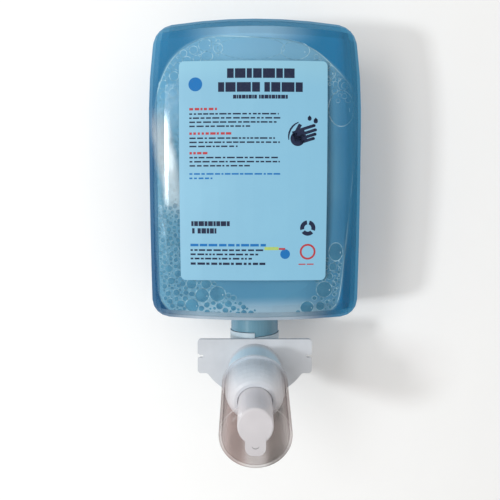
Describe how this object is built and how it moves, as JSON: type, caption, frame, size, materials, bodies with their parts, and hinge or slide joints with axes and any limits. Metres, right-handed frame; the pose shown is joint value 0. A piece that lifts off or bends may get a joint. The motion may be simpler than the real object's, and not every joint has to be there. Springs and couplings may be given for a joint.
{
  "type": "hand soap refill pack",
  "caption": "Rigid translucent soap refill bottle with a flat back, helical-rimmed collar, notched mounting plate and a forward-facing foam pump under a clear transit cap.",
  "frame": {"origin": "centre of the bottle's flat back face, which it lies on", "axes": "+X across the bottle, +Y from the pump towards the bottle's base, +Z out of the labelled front"},
  "size_m": [0.1112, 0.2182, 0.1114],
  "materials": {
    "bottle": "translucent blue, glossy",
    "soap": "clear blue liquid",
    "label": "satin film",
    "white_plastic": "satin moulded",
    "grey_plastic": "satin moulded",
    "natural_plastic": "unpigmented moulded",
    "clear_plastic": "clear moulded",
    "silicone": "soft translucent",
    "steel": "drawn wire",
    "nylon_mesh": "fine woven"
  },
  "bodies": {
    "pack": {"bottle": "bottle", "hand_soap": "soap", "front_label": "label", "neck_collar": "white_plastic", "neck_seal": "silicone", "pump_housing": "grey_plastic", "vent_valve": "silicone", "pump_cylinder": "natural_plastic", "cylinder_seal": "silicone", "inlet_valve": "silicone", "return_spring": "steel", "barrel_retainer": "white_plastic"},
    "pump_stack": {"liquid_piston": "silicone", "piston_stem": "white_plastic", "air_piston": "white_plastic", "air_valve": "silicone", "outlet_valve": "silicone", "mesh_coarse": "nylon_mesh", "mesh_sleeve": "white_plastic", "mesh_fine": "nylon_mesh", "pump_head": "grey_plastic"},
    "transit_cap": {"transit_cap": "clear_plastic"}
  },
  "joints": [
    {"name": "pump_press", "type": "slide", "parent": "pack", "child": "pump_stack", "axis": [0, 0.2588, -0.9659], "range_m": [0, 0.009], "stiffness_N_per_m": 1200, "springref_m": -0.006, "deforming": ["return_spring"]},
    {"name": "cap_pull", "type": "slide", "parent": "pack", "child": "transit_cap", "axis": [0, -0.2588, 0.9659], "range_m": [0, 0.05]}
  ]
}
